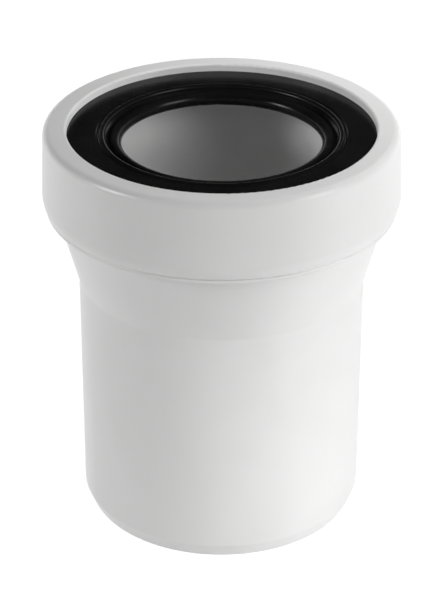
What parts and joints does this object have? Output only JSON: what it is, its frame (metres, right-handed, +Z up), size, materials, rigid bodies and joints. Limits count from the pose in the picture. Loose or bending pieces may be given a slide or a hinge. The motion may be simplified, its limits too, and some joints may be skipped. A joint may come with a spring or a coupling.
{
  "type": "toilet pan connector",
  "caption": "Straight toilet pan connector: plain drain spigot, flared neck and wide head with a rubber seal held under a clip-on collar.",
  "frame": {"origin": "centre of the spigot's end face, on which the connector stands", "axes": "+Z up along the drain's axis, from the spigot's end to the seal; X and Y are free, because every piece is round"},
  "size_m": [0.136, 0.136, 0.1585],
  "materials": {
    "white_plastic": "satin moulded polypropylene",
    "black_rubber": "smooth moulded rubber"
  },
  "bodies": {
    "root": {"body": "white_plastic", "pan_seal": "black_rubber", "retaining_collar": "white_plastic"}
  },
  "joints": []
}
